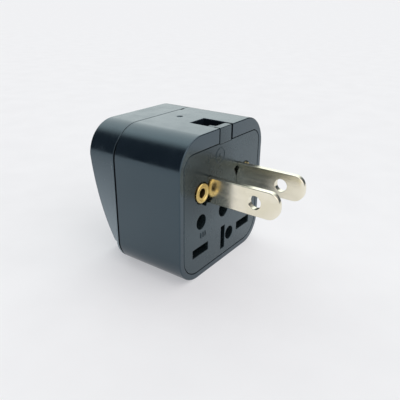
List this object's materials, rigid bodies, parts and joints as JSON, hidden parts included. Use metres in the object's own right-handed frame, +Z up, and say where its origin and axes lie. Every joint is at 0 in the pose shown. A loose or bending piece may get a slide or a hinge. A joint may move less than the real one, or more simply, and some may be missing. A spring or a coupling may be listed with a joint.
{
  "type": "universal travel adapter",
  "caption": "Black universal travel adapter: two flat blades on a clipped pin plate in front, a universal socket with spring contacts at the back of a tapered nose.",
  "frame": {"origin": "centre of the adapter's length and width, on the flat side that it lies on", "axes": "+Z up from the side it lies on, +Y from the blades towards the socket face, +X across the plug face"},
  "size_m": [0.0356, 0.0456, 0.0355],
  "materials": {
    "black_plastic": "glossy moulded black",
    "inner_plastic": "matt moulded black",
    "nickel": "nickel-plated, finely scratched",
    "brass": "bright yellow brass",
    "bronze": "phosphor bronze, satin",
    "dark_steel": "blackened"
  },
  "bodies": {
    "body": {"main_housing": "black_plastic", "pin_plate": "black_plastic", "socket_cover": "black_plastic", "contact_carrier": "inner_plastic", "blade_left": "nickel", "blade_right": "nickel", "rivet_left": "brass", "rivet_right": "brass", "rivet_washer_left": "nickel", "rivet_washer_right": "nickel", "terminal_left": "brass", "terminal_right": "brass", "leaf_clip_left": "brass", "leaf_clip_right": "brass", "clip_rivet_left_lower": "brass", "clip_rivet_left_upper": "brass", "clip_rivet_right_lower": "brass", "clip_rivet_right_upper": "brass", "clamp_screw_left": "dark_steel", "clamp_screw_right": "dark_steel"},
    "latch": {"latch_finger": "black_plastic"},
    "leaf_left": {"contact_leaf_left": "bronze"},
    "leaf_right": {"contact_leaf_right": "bronze"}
  },
  "joints": [
    {"name": "latch_bend", "type": "hinge", "parent": "body", "child": "latch", "pos_m": [0, -0.00358, 0.0319], "axis": [1, 0, 0], "range_deg": [0, 12], "stiffness_Nm_per_rad": 0.05},
    {"name": "leaf_left_bend", "type": "hinge", "parent": "body", "child": "leaf_left", "pos_m": [-0.01305, 0.0083, 0.0228], "axis": [0, 0, 1], "range_deg": [0, 6], "stiffness_Nm_per_rad": 0.2},
    {"name": "leaf_right_bend", "type": "hinge", "parent": "body", "child": "leaf_right", "pos_m": [0.01305, 0.0083, 0.0228], "axis": [0, 0, -1], "range_deg": [0, 6], "stiffness_Nm_per_rad": 0.2}
  ]
}
